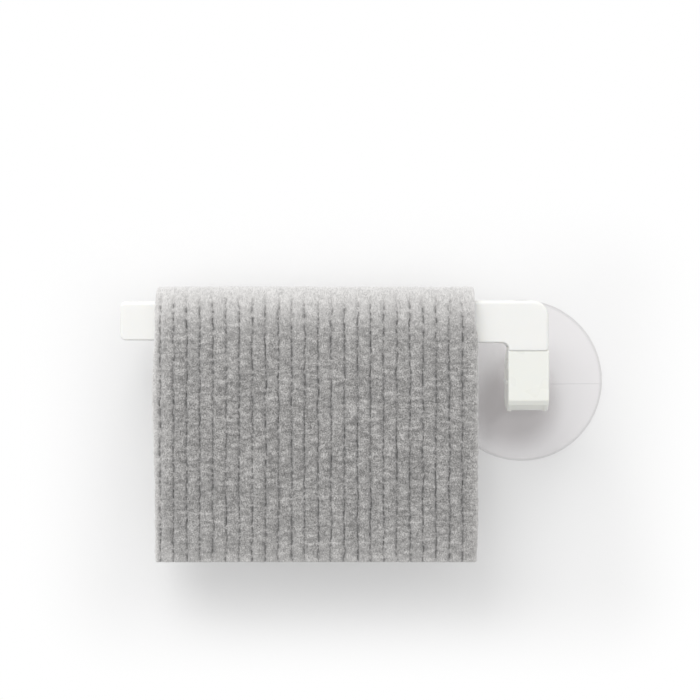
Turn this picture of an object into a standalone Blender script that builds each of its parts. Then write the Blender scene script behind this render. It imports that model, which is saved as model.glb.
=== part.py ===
"""A dishcloth holder: an L-shaped moulded arm, locked to the wall by a suction cup that a lever pulls tight,
with a doubled ribbed dishcloth hung over its bar.

Metres, +Z up, +X to the right, and the viewer on the -Y side. The origin is the centre of the cup's wall face,
so the wall is the plane y = 0 and the holder stands off it towards -Y.
"""

import math

import bmesh
import bpy
from mathutils import Vector

mm = 0.001

# Clearances. Pieces that touch are parted by touch_gap, and cutters run past what they cut by overrun.
touch_gap = 0.3 * mm
cheek_play = 0.55 * mm
overrun = 2.0 * mm

# The arm, seen from the front
leg_width = 15.1 * mm
bar_reach = 151.2 * mm
bar_top = 30.1 * mm
bar_height = 15.8 * mm
end_top_taper = 0.45 * mm
end_bottom_taper = 1.0 * mm
elbow_radius = 6.0 * mm
inner_fillet_radius = 2.2 * mm
end_corner_radius = 2.0 * mm
least_radius = 0.15 * mm

# The arm, front to back
face_distance = 27.5 * mm
arm_depth = 7.5 * mm
arm_wall = 1.6 * mm
cover_thickness = 1.6 * mm
front_edge_radius = 1.4 * mm
inner_edge_radius = 0.5 * mm
back_edge_radius = 0.5 * mm
lip_height = 1.2 * mm
lip_thickness = 1.1 * mm
rib_thickness = 1.0 * mm
rib_pitch = 19.0 * mm

# The lever and its pivot. Heights are measured from the pivot, and setbacks from the front face.
pivot_height = 7.6 * mm
pivot_setback = 4.4 * mm
seam_height = 3.4 * mm
lever_wall = 1.6 * mm
lever_edge_radius = 0.45 * mm
lever_corner_radius = 1.5 * mm
face_length = 18.0 * mm
lip_chamfer_depth = 1.1 * mm
lip_chamfer_height = 1.7 * mm
finger_lip_depth = 4.4 * mm
finger_lip_height = 2.0 * mm
lip_recess = 0.5 * mm
cheek_bottom_rise = 2.3 * mm
cheek_land = 1.2 * mm
lever_opening = math.radians(40)

# The pins, the plunger and its sleeve
pin_radius = 0.9 * mm
pin_chamfer = 0.2 * mm
pin_recess = 0.2 * mm
cross_pin_setback = 3.5 * mm
plunger_stroke = 2.0 * mm
stem_radius = 3.0 * mm
stem_chamfer = 0.5 * mm
stem_above_pin = 2.0 * mm
flange_radius = 4.4 * mm
flange_thickness = 1.2 * mm
sleeve_wall = 3.1 * mm
gusset_height = 11.0 * mm
foot_radius = 7.45 * mm
foot_floor = 0.9 * mm
foot_depth = 2.4 * mm

# The suction cup
cup_radius = 31.0 * mm
contact_ring_width = 7.0 * mm
cup_hollow_depth = 1.8 * mm
rim_thickness = 1.2 * mm
rim_edge_radius = 0.3 * mm
rim_bead_width = 1.3 * mm
rim_groove_depth = 0.25 * mm
flange_plate_thickness = 2.0 * mm
boss_wall = 1.5 * mm
boss_roof = 1.4 * mm
shoulder_width = 3.3 * mm

# The dishcloth, doubled and hung over the bar
cloth_to_leg = 11.65 * mm
cloth_width = 118.6 * mm
cloth_thickness = 4.6 * mm
cloth_front_drop = 94.6 * mm
cloth_back_drop = 90.6 * mm
cloth_bend_drop = 1.8 * mm
cloth_bend_rise = 0.7 * mm
cloth_shoulder_drop = 8.5 * mm
cloth_edge_bow = 1.1 * mm
cloth_sway = 0.35 * mm
first_valley = 1.6 * mm
rib_valley_pitch = 4.867 * mm
rib_valley_depth = 0.8 * mm
bend_squareness = 3.6
outer_bend_squareness = 2.25
front_rows = 6
bend_rows = 10
back_rows = 5

# How finely round shapes are faceted
turn_segments = 48
cup_segments = 72
corner_steps = 6
edge_steps = 3
slot_steps = 10

# What follows from the sizes above
leg_half = leg_width / 2
pivot_y = pivot_setback - face_distance
arm_back_y = arm_depth - face_distance
cover_front_y = arm_back_y - cover_thickness
shell_back_y = cover_front_y - touch_gap
knuckle_radius = math.hypot(pivot_setback, seam_height)
socket_radius = knuckle_radius + touch_gap
web_half = leg_half - lever_wall - cheek_play
lug_radius = pivot_setback - lever_wall - touch_gap
pin_bore_radius = pin_radius + touch_gap
cross_pin_y = pivot_y + cross_pin_setback
stem_bore_radius = stem_radius + touch_gap
flange_pocket_radius = flange_radius + touch_gap
boss_radius = flange_pocket_radius + boss_wall
stem_front_y = cross_pin_y - stem_above_pin
web_front_y = stem_front_y + lever_edge_radius / 2


def cam_point(angle):
    """Where the cross pin lies in the lever, seen from the pivot, when the lever has opened by angle."""
    reach = cross_pin_setback + plunger_stroke * angle / lever_opening
    return Vector(
        (
            reach * math.cos(angle) + pivot_height * math.sin(angle),
            reach * math.sin(angle) - pivot_height * math.cos(angle),
        )
    )


# The cheeks end one land behind the slot, and the foot, the boss and the flange follow from there to the wall.
cheek_rear = cam_point(lever_opening).x + pin_bore_radius + cheek_land
cheek_top = cam_point(lever_opening).y + pin_bore_radius + cheek_land
foot_front_y = pivot_y + cheek_rear + touch_gap
foot_floor_y = foot_front_y + foot_floor
foot_back_y = foot_front_y + foot_depth
boss_front_y = foot_floor_y + touch_gap
shoulder_y = foot_back_y + touch_gap
pocket_front_y = boss_front_y + boss_roof
flange_front_y = pocket_front_y + touch_gap
flange_back_y = flange_front_y + flange_thickness
pocket_back_y = flange_back_y + touch_gap


def make_material(name, hex_colour, roughness, metallic=0.0, alpha=1.0):
    """A Principled material from an sRGB hex colour."""
    material = bpy.data.materials.new(name)
    material.use_nodes = True
    shader = material.node_tree.nodes["Principled BSDF"]
    channels = [int(hex_colour[k : k + 2], 16) / 255 for k in (1, 3, 5)]
    linear = [c / 12.92 if c <= 0.04045 else ((c + 0.055) / 1.055) ** 2.4 for c in channels]
    shader.inputs["Base Color"].default_value = (*linear, 1.0)
    shader.inputs["Roughness"].default_value = roughness
    shader.inputs["Metallic"].default_value = metallic
    shader.inputs["Alpha"].default_value = alpha
    return material


def make_object(name, mesh_builder, origin=(0.0, 0.0, 0.0)):
    """An object from a bmesh in world coordinates, with its own origin at the given point."""
    bmesh.ops.recalc_face_normals(mesh_builder, faces=mesh_builder.faces)
    bmesh.ops.translate(mesh_builder, verts=mesh_builder.verts, vec=-Vector(origin))
    mesh = bpy.data.meshes.new(name)
    mesh_builder.to_mesh(mesh)
    mesh_builder.free()
    mesh.shade_smooth()
    mesh.set_sharp_from_angle(angle=math.radians(35))
    new = bpy.data.objects.new(name, mesh)
    new.location = origin
    bpy.context.scene.collection.objects.link(new)
    return new


def finish(piece, material):
    """Gives a sub-part its material."""
    piece.data.materials.append(material)
    return piece


def combine(piece, operation, *helpers):
    """Joins helpers to a piece or cuts them out of it, and keeps them out of the model."""
    for helper in helpers:
        helper.hide_render = True
        helper.display_type = "WIRE"
        boolean = piece.modifiers.new(helper.name, "BOOLEAN")
        boolean.operation = operation
        boolean.object = helper
    return piece


def loft(name, rings, origin=(0.0, 0.0, 0.0)):
    """A closed solid through rings of equal count, with flat ends."""
    builder = bmesh.new()
    rows = [[builder.verts.new(point) for point in ring] for ring in rings]
    for lower, upper in zip(rows, rows[1:]):
        for i in range(len(lower)):
            j = (i + 1) % len(lower)
            builder.faces.new((lower[i], lower[j], upper[j], upper[i]))
    builder.faces.new(rows[0])
    builder.faces.new(rows[-1])
    return make_object(name, builder, origin)


def facing_front(across, up, depth):
    """An outline drawn as seen from the front, at a depth along Y."""
    return (across, depth, up)


def facing_side(along, up, across):
    """An outline drawn in Y and Z as seen from +X, at a place along X."""
    return (across, along, up)


def rounded_plate(name, outline_at, place, start, end, start_round=0.0, end_round=0.0, origin=(0.0, 0.0, 0.0)):
    """A plate between two depths, whose edges are rounded at its start and its end.

    outline_at(inset) gives the outline drawn in by inset.
    """
    direction = math.copysign(1, end - start)
    levels = []
    if start_round:
        for k in range(edge_steps):
            turn = math.pi / 2 * k / edge_steps
            levels.append((start_round * (1 - math.sin(turn)), start + direction * start_round * (1 - math.cos(turn))))
    levels.append((0.0, start + direction * start_round))
    levels.append((0.0, end - direction * end_round))
    if end_round:
        for k in reversed(range(edge_steps)):
            turn = math.pi / 2 * k / edge_steps
            levels.append((end_round * (1 - math.sin(turn)), end - direction * end_round * (1 - math.cos(turn))))
    rings = [[place(u, v, depth) for u, v in outline_at(inset)] for inset, depth in levels]
    return loft(name, rings, origin)


def turned(name, profile, segments=turn_segments, along_x=False, centre=(0.0, 0.0), origin=(0.0, 0.0, 0.0)):
    """A turned solid. The profile holds (radius, place on the axis), and both its ends lie on the axis.

    The axis runs along Y through (x, z) = centre, or along X through (y, z) = centre.
    """
    builder = bmesh.new()
    rows = []
    for radius, along in profile:
        if radius == 0:
            point = (along, *centre) if along_x else (centre[0], along, centre[1])
            rows.append([builder.verts.new(point)])
            continue
        row = []
        for k in range(segments):
            # Rounded, so that a point on an axis has an exact zero there, which keeps the Booleans clean.
            turn = 2 * math.pi * k / segments
            u = centre[0] + radius * round(math.cos(turn), 9)
            v = centre[1] + radius * round(math.sin(turn), 9)
            row.append(builder.verts.new((along, u, v) if along_x else (u, along, v)))
        rows.append(row)
    for lower, upper in zip(rows, rows[1:]):
        for k in range(segments):
            n = (k + 1) % segments
            corners = [lower[k % len(lower)], lower[n % len(lower)], upper[n % len(upper)], upper[k % len(upper)]]
            builder.faces.new(list(dict.fromkeys(corners)))
    return make_object(name, builder, origin)


def cylinder(name, radius, start, end, along_x=False, centre=(0.0, 0.0)):
    """A plain round bar."""
    profile = [(0.0, start), (radius, start), (radius, end), (0.0, end)]
    return turned(name, profile, along_x=along_x, centre=centre)


def box(name, low, high):
    """A plain block between two corners."""
    outline = [(low[0], low[2]), (high[0], low[2]), (high[0], high[2]), (low[0], high[2])]
    return loft(name, [[facing_front(u, v, depth) for u, v in outline] for depth in (low[1], high[1])])


def rounded_outline(corners, inset=0.0):
    """Points round counter-clockwise corners (u, v, radius), with every edge drawn in by inset."""
    points = []
    for i, (u, v, radius) in enumerate(corners):
        here = Vector((u, v))
        before = Vector(corners[i - 1][:2])
        after = Vector(corners[(i + 1) % len(corners)][:2])
        arriving = (here - before).normalized()
        leaving = (after - here).normalized()
        inward = Vector((-arriving.y, arriving.x))
        next_inward = Vector((-leaving.y, leaving.x))
        corner = here + (inward + next_inward) * inset / (1 + inward.dot(next_inward))
        if radius == 0:
            points.append(tuple(corner))
            continue
        turn = math.atan2(arriving.x * leaving.y - arriving.y * leaving.x, arriving.dot(leaving))
        side = math.copysign(1, turn)
        radius = max(radius - side * inset, least_radius)
        centre = corner - arriving * radius * math.tan(abs(turn) / 2) + inward * side * radius
        first = math.atan2(-side * inward.y, -side * inward.x)
        for k in range(corner_steps + 1):
            angle = first + turn * k / corner_steps
            points.append((centre.x + radius * math.cos(angle), centre.y + radius * math.sin(angle)))
    return points


def arc_points(radius, start, end, steps):
    """Points on an arc about the pivot, as (distance behind it, height above it)."""
    angles = [start + (end - start) * k / steps for k in range(steps + 1)]
    return [(radius * math.cos(angle), radius * math.sin(angle)) for angle in angles]


def from_pivot(points):
    """Moves points drawn from the pivot to world Y and Z."""
    return [(pivot_y + along, pivot_height + up) for along, up in points]


def arm_outline(inset=0.0, outer_inset=0.0):
    """The L of bar and leg. The leg runs down past the pivot, to be cut by the lever's socket.

    Every edge is drawn in by inset, and the bar's end, its top and the leg's right side by outer_inset more.
    """
    reach, top, right = bar_reach - outer_inset, bar_top - outer_inset, leg_half - outer_inset
    end_radius = max(end_corner_radius - outer_inset, least_radius)
    corners = [
        (-reach, top - end_top_taper, end_radius),
        (-reach, bar_top - bar_height + end_bottom_taper, end_radius),
        (-leg_half, bar_top - bar_height, inner_fillet_radius),
        (-leg_half, pivot_height, 0.0),
        (right, pivot_height, 0.0),
        (right, top, elbow_radius - outer_inset),
    ]
    return rounded_outline(corners, inset)


def arm_front_outline(inset):
    """The arm's outline near its front face, whose outer edges are rounder than the inner ones."""
    inner_inset = inset * inner_edge_radius / front_edge_radius
    return arm_outline(inner_inset, inset - inner_inset)


def socket_cutter(name, radius):
    """The round socket under the leg, and everything below it."""
    front = -pivot_setback
    back = arm_depth - pivot_setback
    front_angle = math.pi - math.asin(math.sqrt(radius**2 - front**2) / radius)
    back_angle = math.asin(math.sqrt(radius**2 - back**2) / radius)
    arc = arc_points(radius, front_angle, back_angle, 4 * corner_steps)
    points = [
        (front - overrun, arc[0][1]),
        *arc,
        (back + overrun, arc[-1][1]),
        (back + overrun, -pivot_height),
        (front - overrun, -pivot_height),
    ]
    outline = from_pivot(points)
    across = leg_half + overrun
    return loft(name, [[facing_side(u, v, x) for u, v in outline] for x in (-across, across)])


def make_arm_front_shell(material):
    """The front moulding: a deep tray in the shape of the L, with cross ribs and one long rib inside."""
    shell = rounded_plate(
        "arm_front_shell", arm_front_outline, facing_front, -face_distance, shell_back_y, start_round=front_edge_radius
    )
    inner_front_y = arm_wall - face_distance
    hollow = rounded_plate(
        "shell_hollow",
        lambda inset: arm_outline(arm_wall + inset),
        facing_front,
        inner_front_y,
        shell_back_y + overrun,
    )
    rib_back_y = cover_front_y - lip_height - touch_gap
    middle = bar_top - bar_height / 2
    ribs = [
        box(
            "long_rib",
            (-bar_reach, inner_front_y - overrun, middle - rib_thickness / 2),
            (leg_half, rib_back_y, middle + rib_thickness / 2),
        )
    ]
    count = int((bar_reach - leg_half) / rib_pitch)
    for k in range(count):
        x = -leg_half - rib_pitch * k
        low = (x - rib_thickness, inner_front_y - overrun, bar_top - bar_height - overrun)
        high = (x, rib_back_y, bar_top + overrun)
        ribs.append(box(f"cross_rib_{k + 1}", low, high))
    combine(hollow, "DIFFERENCE", *ribs, socket_cutter("socket_wall_cutter", socket_radius + arm_wall))
    combine(shell, "DIFFERENCE", hollow, socket_cutter("shell_socket_cutter", socket_radius))
    return finish(shell, material)


def make_locating_lip():
    """The rim on the cover that drops into the shell and centres it."""
    outer = arm_wall + touch_gap
    front = cover_front_y - lip_height
    inside_cover = cover_front_y + cover_thickness / 2
    lip = rounded_plate("lip", lambda inset: arm_outline(outer + inset), facing_front, front, inside_cover)
    hollow = rounded_plate(
        "lip_hollow",
        lambda inset: arm_outline(outer + lip_thickness + inset),
        facing_front,
        front - overrun,
        inside_cover + overrun,
    )
    cutter = socket_cutter("lip_socket_cutter", socket_radius + outer)
    return combine(lip, "DIFFERENCE", hollow, cutter)


def make_web():
    """The middle web, from the cover down past the lever's pivot and back to the foot."""
    lug = arc_points(lug_radius, math.radians(250), math.pi / 2 + lever_opening + math.radians(10), 2 * corner_steps)
    front = web_front_y - pivot_y
    rear = foot_front_y + foot_floor / 2 - pivot_y
    cover_middle = arm_back_y - cover_thickness / 2 - pivot_y
    sleeve_half = stem_bore_radius + sleeve_wall
    tangent_rise = (front - lug[-1][0]) / math.tan(lever_opening)
    points = [
        (front, -pivot_height - sleeve_half),
        (rear, -pivot_height - sleeve_half),
        (rear, -pivot_height + sleeve_half),
        (arm_back_y - pivot_y, gusset_height),
        (cover_middle, gusset_height),
        (cover_middle, lug[-1][1] + tangent_rise),
        (front, lug[-1][1] + tangent_rise),
        *reversed(lug),
        (front, lug[0][1] - lug_radius / 2),
    ]
    outline = from_pivot(points)
    return loft("web", [[facing_side(u, v, x) for u, v in outline] for x in (-web_half, web_half)])


def make_pin_slot(name, start_y, half_width, across):
    """A straight slot through the sleeve along the plunger's stroke, with round ends."""
    points = []
    for k in range(2 * corner_steps + 1):
        angle = math.pi / 2 + math.pi * k / (2 * corner_steps)
        points.append((start_y + half_width * math.cos(angle), half_width * math.sin(angle)))
    for k in range(2 * corner_steps + 1):
        angle = -math.pi / 2 + math.pi * k / (2 * corner_steps)
        points.append((start_y + plunger_stroke + half_width * math.cos(angle), half_width * math.sin(angle)))
    return loft(name, [[facing_side(u, v, x) for u, v in points] for x in (-across, across)])


def make_arm_back_frame(material):
    """The back moulding: cover and lip, web with the pivot lug, plunger sleeve and the foot on the cup."""
    frame = rounded_plate(
        "arm_back_frame", arm_outline, facing_front, cover_front_y, arm_back_y, end_round=back_edge_radius
    )
    across = leg_half + overrun
    foot = cylinder("foot", foot_radius, foot_front_y, foot_back_y)
    counterbore = cylinder("foot_counterbore", boss_radius + touch_gap, foot_floor_y, foot_back_y + overrun)
    stem_bore = cylinder("stem_bore", stem_bore_radius, web_front_y - overrun, foot_back_y + overrun)
    pin_bore = cylinder("lug_bore", pin_bore_radius, -across, across, True, (pivot_y, pivot_height))
    combine(frame, "DIFFERENCE", socket_cutter("cover_socket_cutter", socket_radius))
    combine(frame, "UNION", make_locating_lip(), make_web(), foot)
    pin_slot = make_pin_slot("sleeve_slot", cross_pin_y, pin_bore_radius, across)
    combine(frame, "DIFFERENCE", counterbore, stem_bore, pin_slot, pin_bore)
    return finish(frame, material)


def lever_corners():
    """The lever's side outline from the pivot, counter-clockwise, and the point where its lip wall ends."""
    front = -pivot_setback
    face_bottom = seam_height - face_length
    chamfer = (front + lip_chamfer_depth, face_bottom - lip_chamfer_height)
    lip_end = (front + lip_chamfer_depth + finger_lip_depth, chamfer[1] - finger_lip_height)
    rear_corner = Vector((cheek_rear, cheek_top))
    tangent = rear_corner.angle(Vector((1, 0))) * math.copysign(1, rear_corner.y)
    tangent += math.acos(knuckle_radius / rear_corner.length)
    front_angle = math.pi - math.asin(seam_height / knuckle_radius)
    knuckle = arc_points(knuckle_radius, tangent, front_angle, 3 * corner_steps)
    corners = [
        *((u, v, 0.0) for u, v in knuckle),
        (front, face_bottom, lever_edge_radius),
        (*chamfer, lever_edge_radius),
        (lip_end[0], lip_end[1] - lip_recess, lever_corner_radius),
        (cheek_rear, lip_end[1] - lip_recess + cheek_bottom_rise, lever_corner_radius),
        (cheek_rear, cheek_top, lever_corner_radius),
    ]
    return corners, chamfer, lip_end


def make_cam_slot(across):
    """The curved slot in both cheeks, swept by the cross pin as the lever opens."""
    half_width = pin_bore_radius
    path = [cam_point(lever_opening * k / slot_steps) for k in range(slot_steps + 1)]
    headings = [
        math.atan2(*reversed(path[min(k + 1, slot_steps)] - path[max(k - 1, 0)])) for k in range(slot_steps + 1)
    ]

    def beside(point, angle):
        return (point.x + half_width * math.cos(angle), point.y + half_width * math.sin(angle))

    steps = 2 * corner_steps
    points = [beside(p, h - math.pi / 2) for p, h in zip(path, headings)]
    points += [beside(path[-1], headings[-1] - math.pi / 2 + math.pi * k / steps) for k in range(1, steps)]
    points += [beside(p, h + math.pi / 2) for p, h in reversed(list(zip(path, headings)))]
    points += [beside(path[0], headings[0] + math.pi / 2 + math.pi * k / steps) for k in range(1, steps)]
    outline = from_pivot(points)
    return loft("cam_slot", [[facing_side(u, v, x) for u, v in outline] for x in (-across, across)])


def make_lever(material):
    """The lever: front plate with a bevelled finger lip, and two cheeks with the pivot bore and the cam slot."""
    corners, chamfer, lip_end = lever_corners()

    def outline_at(inset):
        return from_pivot(rounded_outline(corners, inset))

    lever = rounded_plate(
        "lever",
        outline_at,
        facing_side,
        -leg_half,
        leg_half,
        start_round=lever_edge_radius,
        end_round=lever_edge_radius,
        origin=(0.0, pivot_y, pivot_height),
    )
    inner = leg_half - lever_wall
    plate_back = lever_wall - pivot_setback
    above = knuckle_radius + overrun
    below = lip_end[1] - lever_corner_radius - overrun
    behind = cheek_rear + overrun
    hollow_points = [
        (plate_back, above),
        (plate_back, chamfer[1] + lip_chamfer_height),
        (lip_end[0], lip_end[1] + lever_wall),
        (lip_end[0], below),
        (behind, below),
        (behind, above),
    ]
    recess_points = [
        (chamfer[0], chamfer[1]),
        (lip_end[0] + overrun, lip_end[1] - overrun * finger_lip_height / finger_lip_depth),
        (lip_end[0] + overrun, below),
        (chamfer[0], below),
    ]
    hollow, recess = (
        loft(name, [[facing_side(u, v, x) for u, v in from_pivot(points)] for x in (-inner, inner)])
        for name, points in (("lever_hollow", hollow_points), ("lip_recess_cutter", recess_points))
    )
    across = leg_half + overrun
    pin_bore = cylinder("cheek_bore", pin_bore_radius, -across, across, True, (pivot_y, pivot_height))
    combine(lever, "DIFFERENCE", hollow, recess, make_cam_slot(across), pin_bore)
    return finish(lever, material)


def make_pin(name, along, up, material):
    """A steel pin across the lever, just short of its cheeks' faces, with broken edges."""
    end = leg_half - pin_recess
    profile = [
        (0.0, -end),
        (pin_radius - pin_chamfer, -end),
        (pin_radius, pin_chamfer - end),
        (pin_radius, end - pin_chamfer),
        (pin_radius - pin_chamfer, end),
        (0.0, end),
    ]
    pin = turned(name, profile, along_x=True, centre=(along, up), origin=(0.0, along, up))
    return finish(pin, material)


def make_plunger(material):
    """The plunger: a stem bored across for its pin, on a flange that the cup's boss holds."""
    profile = [
        (0.0, stem_front_y),
        (stem_radius - stem_chamfer, stem_front_y),
        (stem_radius, stem_front_y + stem_chamfer),
        (stem_radius, flange_front_y),
        (flange_radius, flange_front_y),
        (flange_radius, flange_back_y),
        (0.0, flange_back_y),
    ]
    plunger = turned("plunger", profile, origin=(0.0, cross_pin_y, 0.0))
    across = stem_radius + overrun
    pin_bore = cylinder("plunger_bore", pin_bore_radius, -across, across, True, (cross_pin_y, 0.0))
    combine(plunger, "DIFFERENCE", pin_bore)
    return finish(plunger, material)


def cup_profile():
    """The cup's section: wall side from the middle outwards, then the room side back to the boss."""
    ring = cup_radius - contact_ring_width
    shoulder_radius = boss_radius + shoulder_width
    height = -shoulder_y
    hollow_shares = ((0.0, 1.0), (0.25, 0.93), (0.5, 0.72), (0.75, 0.34), (0.9, 0.09), (1.0, 0.0))
    dome_shares = ((1.0, 0.0), (0.82, 0.06), (0.62, 0.16), (0.42, 0.33), (0.24, 0.58), (0.1, 0.85), (0.03, 0.96))
    bead = cup_radius - rim_bead_width
    span = bead - rim_bead_width / 2 - shoulder_radius
    rise = height - flange_plate_thickness
    profile = [(ring * share, -cup_hollow_depth * depth_share) for share, depth_share in hollow_shares]
    profile += [
        (cup_radius - rim_edge_radius, 0.0),
        (cup_radius, -rim_edge_radius),
        (cup_radius, rim_edge_radius - rim_thickness),
        (cup_radius - rim_edge_radius, -rim_thickness),
        (bead, -rim_thickness),
        (bead - rim_bead_width / 2, rim_groove_depth - rim_thickness),
    ]
    profile += [
        (shoulder_radius + span * share, -flange_plate_thickness - rise * rise_share)
        for share, rise_share in dome_shares[1:]
    ]
    profile += [
        (shoulder_radius, shoulder_y),
        (boss_radius, shoulder_y),
        (boss_radius, boss_front_y + rim_edge_radius),
        (boss_radius - rim_edge_radius, boss_front_y),
        (stem_bore_radius, boss_front_y),
        (stem_bore_radius, pocket_front_y),
        (flange_pocket_radius, pocket_front_y),
        (flange_pocket_radius, pocket_back_y),
        (0.0, pocket_back_y),
    ]
    return profile


def make_suction_cup(material):
    """The clear cup: flat ring on the wall, shallow hollow, dome, shoulder under the foot, boss round the flange."""
    return finish(turned("suction_cup", cup_profile(), segments=cup_segments), material)


def bend_point(half_depth, rise, angle, squareness):
    """A point on the rounded bend over the bar, from the back (0) over the top to the front (pi)."""
    across = math.copysign(abs(math.cos(angle)) ** (2 / squareness), math.cos(angle))
    return half_depth * across, rise * math.sin(angle) ** (2 / squareness)


def drape_sections(extra, squareness, bend_drop):
    """The cloth's course from the back hem over the bar to the front hem, as (y, z), extra outside its lining.

    Its bend starts bend_drop below the bar's top.
    """
    middle_y = arm_back_y - arm_depth / 2
    half_depth = arm_depth / 2 + touch_gap + extra
    bend_z = bar_top - bend_drop
    rise = bend_drop + cloth_bend_rise + extra
    back_drop = cloth_back_drop + cloth_bend_drop - bend_drop
    front_drop = cloth_front_drop + cloth_bend_drop - bend_drop
    back = [(middle_y + half_depth, bend_z - back_drop * (1 - k / back_rows)) for k in range(back_rows)]
    bend = []
    for k in range(bend_rows + 1):
        across, up = bend_point(half_depth, rise, math.pi * k / bend_rows, squareness)
        bend.append((middle_y + across, bend_z + up))
    front = [(middle_y - half_depth, bend_z - front_drop * (k + 1) / front_rows) for k in range(front_rows)]
    return back + bend + front


def rib_columns():
    """The places of the ribs' valleys and crests from the cloth's fold, as (place, True for a valley)."""
    columns = [(0.0, False)]
    count = int((cloth_width - first_valley) / rib_valley_pitch)
    for k in range(count):
        valley = first_valley + rib_valley_pitch * k
        columns += [(valley, True), (valley + rib_valley_pitch / 2, False)]
    return [*columns, (cloth_width, False)]


def make_dishcloth(material):
    """The doubled cloth: a plain lining over the bar, and outside it the long vertical ribs."""
    right = -leg_half - cloth_to_leg
    left = right - cloth_width
    lining = drape_sections(0.0, bend_squareness, cloth_bend_drop)
    outside = drape_sections(cloth_thickness, outer_bend_squareness, cloth_shoulder_drop)
    valleys = drape_sections(cloth_thickness - rib_valley_depth, outer_bend_squareness, cloth_shoulder_drop)
    columns = rib_columns()
    builder = bmesh.new()
    outer_rows, inner_rows = [], []
    for row, inner_point in enumerate(lining):
        share = row / (len(lining) - 1)
        bow = cloth_edge_bow * math.sin(math.pi * share * 2) ** 2
        outer_row = []
        for place, is_valley in columns:
            across = place / cloth_width
            y, z = (valleys if is_valley else outside)[row]
            sway = cloth_sway * math.sin(2 * math.pi * (2 * across + share))
            x = left + place + bow * (2 * across - 1)
            outward = math.copysign(1, y - inner_point[0])
            outer_row.append(builder.verts.new((x, y + outward * sway * abs(2 * share - 1), z)))
        outer_rows.append(outer_row)
        inner_rows.append([builder.verts.new((x, *inner_point)) for x in (left - bow, left + cloth_width + bow)])
    for k in range(len(lining) - 1):
        outer, next_outer = outer_rows[k], outer_rows[k + 1]
        inner, next_inner = inner_rows[k], inner_rows[k + 1]
        for column in range(len(columns) - 1):
            builder.faces.new((outer[column], outer[column + 1], next_outer[column + 1], next_outer[column]))
        builder.faces.new((inner[1], inner[0], next_inner[0], next_inner[1]))
        builder.faces.new((inner[0], outer[0], next_outer[0], next_inner[0]))
        builder.faces.new((outer[-1], inner[1], next_inner[1], next_outer[-1]))
    for outer, inner in ((outer_rows[0], inner_rows[0]), (outer_rows[-1], inner_rows[-1])):
        builder.faces.new([*outer, inner[1], inner[0]])
    bmesh.ops.triangulate(builder, faces=builder.faces)
    return finish(make_object("dishcloth", builder), material)


def clear_scene():
    for old in list(bpy.data.objects):
        bpy.data.objects.remove(old, do_unlink=True)


def main():
    clear_scene()
    white_plastic = make_material("White moulded plastic", "#F4F4F0", 0.35)
    lever_plastic = make_material("White lever plastic", "#F2F3EE", 0.32)
    pin_steel = make_material("Stainless steel", "#B9BBBD", 0.28, metallic=1.0)
    acetal = make_material("White acetal", "#EDEDE9", 0.3)
    clear_vinyl = make_material("Clear soft vinyl", "#E6E6E8", 0.12, alpha=0.35)
    grey_cloth = make_material("Grey ribbed cloth", "#969492", 0.95)
    make_arm_front_shell(white_plastic)
    make_arm_back_frame(white_plastic)
    make_lever(lever_plastic)
    make_pin("lever_pivot_pin", pivot_y, pivot_height, pin_steel)
    make_pin("plunger_cross_pin", cross_pin_y, 0.0, pin_steel)
    make_plunger(acetal)
    make_suction_cup(clear_vinyl)
    make_dishcloth(grey_cloth)


main()
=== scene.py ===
import math
from functools import partial

import bmesh
import bpy
import numpy as np
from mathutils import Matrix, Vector, noise


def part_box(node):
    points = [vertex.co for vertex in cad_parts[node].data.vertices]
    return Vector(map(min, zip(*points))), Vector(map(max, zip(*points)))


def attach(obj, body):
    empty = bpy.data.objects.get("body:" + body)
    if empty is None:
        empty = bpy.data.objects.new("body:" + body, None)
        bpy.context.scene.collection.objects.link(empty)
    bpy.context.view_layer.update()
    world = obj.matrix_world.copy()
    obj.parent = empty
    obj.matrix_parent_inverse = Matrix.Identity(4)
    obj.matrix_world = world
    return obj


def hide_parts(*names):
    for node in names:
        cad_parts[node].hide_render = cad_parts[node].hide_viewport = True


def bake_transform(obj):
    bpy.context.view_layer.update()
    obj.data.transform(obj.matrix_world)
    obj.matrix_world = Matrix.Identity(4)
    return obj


bl_info = {
    "name": "Dishcloth holder dressing",
    "version": (1, 0, 0),
    "blender": (4, 5, 0),
    "location": "3D View > Sidebar > Holder",
    "description": "Finishes the holder's mouldings, makes its cup and cloth, and sets the stage",
    "category": "Object",
}

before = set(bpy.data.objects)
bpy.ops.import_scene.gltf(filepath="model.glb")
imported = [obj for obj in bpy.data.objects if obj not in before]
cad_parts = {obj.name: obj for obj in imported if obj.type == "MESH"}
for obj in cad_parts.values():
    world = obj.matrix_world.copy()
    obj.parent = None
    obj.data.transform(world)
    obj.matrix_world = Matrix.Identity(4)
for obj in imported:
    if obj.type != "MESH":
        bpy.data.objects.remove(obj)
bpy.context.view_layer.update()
arm_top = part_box("arm_front_shell")[1].z
cup_low, cup_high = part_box("suction_cup")
cloth_low, cloth_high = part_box("dishcloth")
mm = 0.001

# The photograph: its side in pixels, where the cup's centre lies in it, and its scale at the wall
image_side = 700
cup_centre_pixel = (521.2, 380.3)
wall_metres_per_pixel = 0.386 * mm

# The slot between the cloth's layers has one column for so many of its skin's columns
slot_stride = 4

# What the background and the wall's far parts shine with
plain_white = {"Color": (1.0, 1.0, 1.0, 1.0), "Strength": 1.0}


def linear(hex_colour):
    """An sRGB hex colour as linear red, green and blue."""
    channels = [int(hex_colour[k : k + 2], 16) / 255 for k in (1, 3, 5)]
    return tuple(c / 12.92 if c <= 0.04045 else ((c + 0.055) / 1.055) ** 2.4 for c in channels)


def opaque(colour):
    """A colour property as the four values that a socket takes."""
    return (*colour, 1.0)


def length_property(name, description, default):
    """A property that holds a length."""
    return bpy.props.FloatProperty(name=name, description=description, unit="LENGTH", default=default)


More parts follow.
